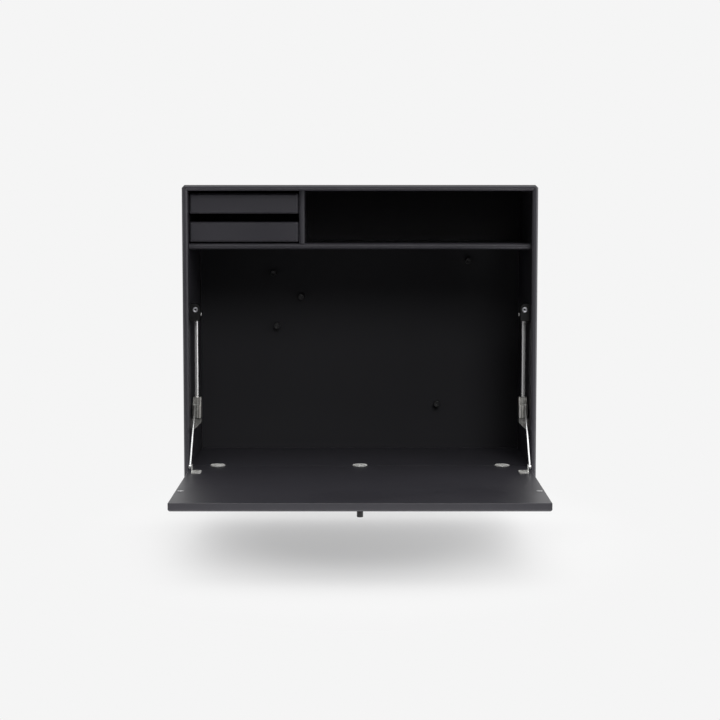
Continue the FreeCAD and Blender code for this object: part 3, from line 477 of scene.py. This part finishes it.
for side in ("left", "right"):
    rounded(side + "_rod_foot", EDGE, 3.2 * MM, finish=foot_casting)
    rounded(side + "_slider", EDGE, 3.2 * MM, finish=slider_casting)
    rounded(side + "_catch_block", EDGE, 4 * MM)
    rounded(side + "_stay_arm", 0.3 * MM, 0.5 * MM, finish=arm_chrome)
    rounded(side + "_flap_bracket", 0.3 * MM, 0.5 * MM, finish=plate_steel)

    rod_place, half = middle(side + "_stay_rod")
    length = 2 * half.z / MM
    rod = turn([(0, 0), (half.x / MM, 0), (half.x / MM, length), (0, length)], 0.4)
    put(rod, rod_place - Vector((0, 0, half.z)))
    show(side + "_stay_rod_turned", rod, "chromed_steel", "cabinet", (side + "_stay_rod",))

    label = side + "_catch_magnet"
    centre, half = middle(label)
    magnet = put(turn(MAGNET, 0.25), centre + Vector((0, half.y, 0)), (0, -1, 0))
    show(label + "_turned", magnet, "bright_steel", "cabinet", (label,), magnet_steel)

    label = side + "_strike_disc"
    centre, half = middle(label)
    strike = put(turn(STRIKE, 0.25), centre - Vector((0, 0, half.z)))
    show(label + "_turned", strike, "bright_steel", "flap", (label,), disc_steel)

    inward = 1 if side == "left" else -1
    block, half = middle(side + "_catch_block")
    seat = block.x + inward * half.x, rod_place.y, block.z - half.z + CLAMP_RISE
    clamp = put(turn(CLAMP, 0.15), seat, (inward, 0, 0))
    show(side + "_clamp_screw", clamp, "screw_steel", "cabinet", finish=screw_painted_highlight)

    rounded(side + "_hanger", 0.4 * MM, 4 * MM)
    rounded(side + "_wall_plate", 0.4 * MM, 4 * MM)


# The round hinges. Each half's cap stands proud of its board and slopes down to the seam, so that the
# two clear each other when the flap is shut.

CAP = [(0, -0.2), (17.2, -0.2), (17.2, 1.3), (16.3, 2.3), (14.5, 2.7), (0, 2.8)]
SLOPE = math.radians(38)

for place in ("left", "centre", "right"):
    x = middle(f"{place}_hinge_floor_half")[0].x
    for board, body, toward in (("floor", "cabinet", 1), ("flap", "flap", -1)):
        rounded(f"{place}_hinge_{board}_half", 0.2 * MM, 0.3 * MM)
        cap = put(turn(CAP, 0.2), (x, HINGE_AXIS.y, FLOOR_TOP))
        cut = bmesh.ops.bisect_plane(
            cap, geom=cap.verts[:] + cap.edges[:] + cap.faces[:],
            plane_co=(x, HINGE_AXIS.y, HINGE_AXIS.z),
            plane_no=(0, -toward * math.sin(SLOPE), math.cos(SLOPE)), clear_outer=True,
        )
        edges = [thing for thing in cut["geom_cut"] if isinstance(thing, bmesh.types.BMEdge)]
        bmesh.ops.holes_fill(cap, edges=edges)
        show(f"{place}_hinge_{board}_cap", cap, "hinge_nickel", body)


# The screws: countersunk, each with a cross recess

SCREW_HEAD = 3.4 * MM
SCREW_SHANK = 1.75 * MM
SCREW_SINK = 1.8 * MM
SCREW_LENGTH = 11.6 * MM
SCREW_STEPS = 24


def screw(head, shank, sink, length):
    """A countersunk screw whose face is at the origin and whose tip points down. The cross is what
    stays of a grid of nine squares without its corners, sunk and narrowed."""
    cross_reach, cross_sink, cross_taper = 0.52 * head, 0.9 * sink, 0.6
    tip_taper, tip_length = 0.4, 0.12 * length
    shape = bmesh.new()
    bmesh.ops.create_grid(shape, x_segments=3, y_segments=3, size=cross_reach)
    corners = [
        face for face in shape.faces if min(abs(step) for step in face.calc_center_median()[:2]) > WELD
    ]
    bmesh.ops.delete(shape, geom=corners, context="FACES")
    outline = [edge for edge in shape.edges if edge.is_boundary]
    rim = bmesh.ops.create_circle(shape, segments=SCREW_STEPS, radius=head)["verts"]
    ring = [edge for edge in shape.edges if edge.verts[0] in rim and edge.verts[1] in rim]
    cross = bmesh.ops.extrude_face_region(shape, geom=shape.faces[:])["geom"]
    floor = [thing for thing in cross if isinstance(thing, bmesh.types.BMVert)]
    bmesh.ops.translate(shape, verts=floor, vec=(0, 0, -cross_sink))
    bmesh.ops.scale(shape, verts=floor, vec=(cross_taper, cross_taper, 1))
    bmesh.ops.bridge_loops(shape, edges=ring + outline)
    for reach, drop in ((shank / head, -sink), (1, sink - length), (tip_taper, -tip_length)):
        grown = bmesh.ops.extrude_edge_only(shape, edges=ring)["geom"]
        rim = [thing for thing in grown if isinstance(thing, bmesh.types.BMVert)]
        ring = [thing for thing in grown if isinstance(thing, bmesh.types.BMEdge)]
        bmesh.ops.translate(shape, verts=rim, vec=(0, 0, drop))
        bmesh.ops.scale(shape, verts=rim, vec=(reach, reach, 1))
    bmesh.ops.contextual_create(shape, geom=ring)
    return shape


def islands(label):
    """The verts of each separate solid of a CAD node."""
    shape = bmesh.new()
    shape.from_mesh(nodes[label].data)
    bmesh.ops.remove_doubles(shape, verts=shape.verts, dist=WELD)
    seen = set()
    for start in shape.verts:
        if start in seen:
            continue
        found, fresh = set(), [start]
        while fresh:
            vertex = fresh.pop()
            found.add(vertex)
            fresh.extend({edge.other_vert(vertex) for edge in vertex.link_edges} - found)
        seen |= found
        yield [vertex.co.copy() for vertex in found]
    shape.free()


def across(point, along):
    """A point without its part along an axis."""
    return Vector(0 if axis == along else point[axis] for axis in range(3))


def fit_screws(label):
    """Screws with a cross recess in the places of a node's plain ones, whose wider end is the head."""
    joined = bmesh.new()
    for points in islands(label):
        low, high = (Vector(pick(p[axis] for p in points) for axis in range(3)) for pick in (min, max))
        along = max(range(3), key=lambda axis: high[axis] - low[axis])
        centre = (low + high) / 2

        def spread(end):
            level = [point for point in points if abs(point[along] - end[along]) < WELD]
            return max(across(point - centre, along).length for point in level)

        face, way = (high, 1) if spread(high) > spread(low) else (low, -1)
        place = centre.copy()
        place[along] = face[along]
        toward = Vector(way if axis == along else 0 for axis in range(3))
        made = put(screw(SCREW_HEAD, SCREW_SHANK, SCREW_SINK, SCREW_LENGTH), place, toward)
        piece = bpy.data.meshes.new("one screw")
        made.to_mesh(piece)
        made.free()
        joined.from_mesh(piece)
        bpy.data.meshes.remove(piece)
    show(label + "_recessed", joined, "screw_steel", body_of[label], (label,))


fit_screws("cabinet_screws")
fit_screws("bracket_screws")


# The flap's knob, with a bore for its stud, and the magnets on the back, with a dimple in the face

KNOB = [
    (0, 10.1), (2.1, 10.1), (2.1, 0), (4.8, 0), (4.85, 1.4), (5.1, 3), (5.7, 4.6), (6.4, 5.8), (6.7, 6.9),
    (6.7, 17.1), (5.8, 18), (3, 17.85), (0, 17.8),
]
BOARD_MAGNET = [
    (0, 0), (7.2, 0), (7.5, 0.3), (7.5, 17.1), (6.7, 18), (4, 17.75), (1.5, 17.6), (1.2, 16.8), (0, 16.5),
]

centre, half = middle("flap_knob")
knob = put(turn(KNOB, 0.4), centre + Vector((0, 0, half.z)), (0, 0, -1))
show("flap_knob_turned", knob, "black_metal", "flap", ("flap_knob",))

for number in range(1, 6):
    label = f"board_magnet_{number}"
    centre, half = middle(label)
    magnet = put(turn(BOARD_MAGNET, 0.3), centre + Vector((0, half.y, 0)), (0, -1, 0))
    show(label + "_turned", magnet, "black_metal", body_of[label], (label,))


# The solids that still show take the plain finish of their slot

for label, node in nodes.items():
    for slot in node.material_slots:
        slot.material = finishes[slot_of[label]].made


# The set: a pale floor just below the desk, a studio room round them, and soft lamps

PALE = (0.913, 0.913, 0.913)
FLOOR_Z = -0.78
FLOOR_RADIUS = 2.2  # wide enough for the shadow, and too small to light the open bay


def light_path(finish, *kinds):
    """1 on the kinds of ray that are named."""
    rays = finish.tree.nodes.new("ShaderNodeLightPath")
    values = [Value(finish, rays.outputs[f"Is {kind} Ray"]) for kind in kinds]
    return sum(values[1:], values[0])


def floor_paint():
    """Pale paint, seen from above only. Away from the desk it fades into the pale room."""
    finish = Finish("floor_paint", "BsdfDiffuse").set(Color=(*PALE, 1))
    ground = finish.node("Mapping", None, {
        "Vector": finish.node("TexCoord", out="Object"), "Location": (0, 0.2, 0), "Scale": (1.3, 1, 0),
    })
    away = finish.node("VectorMath", {"operation": "LENGTH"}, {"Vector": ground}, out="Value")
    glow = 0.42 + 0.58 * finish.between(away, 0.25, 1.0)
    own = finish.node("Emission", None, {"Color": (*PALE, 1)})
    seen = light_path(finish, "Camera", "Glossy", "Transmission")
    painted = finish.node("MixShader", None, {0: seen * glow, 1: finish.surface, 2: own})
    clear = finish.node("BsdfTransparent")
    below = finish.node("NewGeometry", out="Backfacing")
    finish.feed(finish.end, finish.node("MixShader", None, {0: below, 1: painted, 2: clear}))
    return finish


def lay_floor():
    shape = bmesh.new()
    bmesh.ops.create_circle(shape, cap_ends=True, segments=ROUND, radius=FLOOR_RADIUS)
    bmesh.ops.translate(shape, verts=shape.verts, vec=(0, 0, FLOOR_Z))
    mesh = bpy.data.meshes.new("floor")
    shape.to_mesh(mesh)
    shape.free()
    mesh.materials.append(floor_paint().made)
    made = bpy.data.objects.new("floor", mesh)
    bpy.context.scene.collection.objects.link(made)
    made.visible_shadow = False  # so that the bounce light comes up through it
    made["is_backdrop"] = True


def lamp(name, toward, strength, softness):
    """A sun that shines along a direction, as wide as a number of degrees."""
    light = bpy.data.lights.new(name, "SUN")
    light.energy = strength
    light.angle = math.radians(softness)
    made = bpy.data.objects.new(name, light)
    made.rotation_euler = Vector(toward).to_track_quat("-Z", "Y").to_euler()
    bpy.context.scene.collection.objects.link(made)


def studio_room():
    """A room that is pale behind the desk, bright above and at the right, and dim in front and left.
    Seen straight on it is one even pale tone."""
    room = Finish("studio", "Background", "worlds", "OutputWorld")
    parts = room.tree.nodes.new("ShaderNodeSeparateXYZ")
    room.feed(parts.inputs["Vector"], room.node("TexCoord", out="Generated"))
    x, y, z = (Value(room, parts.outputs[axis]) for axis in "XYZ")
    right = room.between(x, 0.45, 0.8) * room.between(z, -0.3, 0.15)
    far_right = room.between(x, 0.8, 0.98)
    left = room.between(x, -0.3, -0.7)
    above = room.between(0.94 * z - 0.34 * y, 0.8, 0.95)
    behind = room.between(y, -0.1, 0.25)
    level = 0.02 + 2.35 * above + 1.25 * right + 1.4 * far_right + 0.32 * left + 0.9 * behind
    room.set(Color=(*PALE, 1), Strength=level)
    shown = room.node("Background", None, {"Color": (*PALE, 1), "Strength": 1.0})
    seen = light_path(room, "Camera", "Transmission")
    room.feed(room.end, room.node("MixShader", None, {0: seen, 1: room.surface, 2: shown}))
    return room.made


lay_floor()
lamp("key_light", (-0.16, 0.85, -0.5), 1.05, 24)
lamp("bounce_light", (-0.1, 0.66, 0.76), 1.9, 20)
bpy.context.scene.world = studio_room()
bpy.context.scene.view_settings.view_transform = "Standard"

CAMERA_PLACE = (0, -4.429, 0.0225)
CAMERA_DIP = 5.1437  # degrees below the horizon
CAMERA_LENS = 88.152
CAMERA_SENSOR = 36

camera = bpy.data.cameras.new("camera")
camera.sensor_width = CAMERA_SENSOR
camera.lens = CAMERA_LENS
eye = bpy.data.objects.new("camera", camera)
eye.location = CAMERA_PLACE
eye.rotation_euler = (math.radians(90 - CAMERA_DIP), 0, 0)
bpy.context.scene.collection.objects.link(eye)
bpy.context.scene.camera = eye

plain = [[list(corner) for corner in box] for box in (cad_box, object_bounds())]
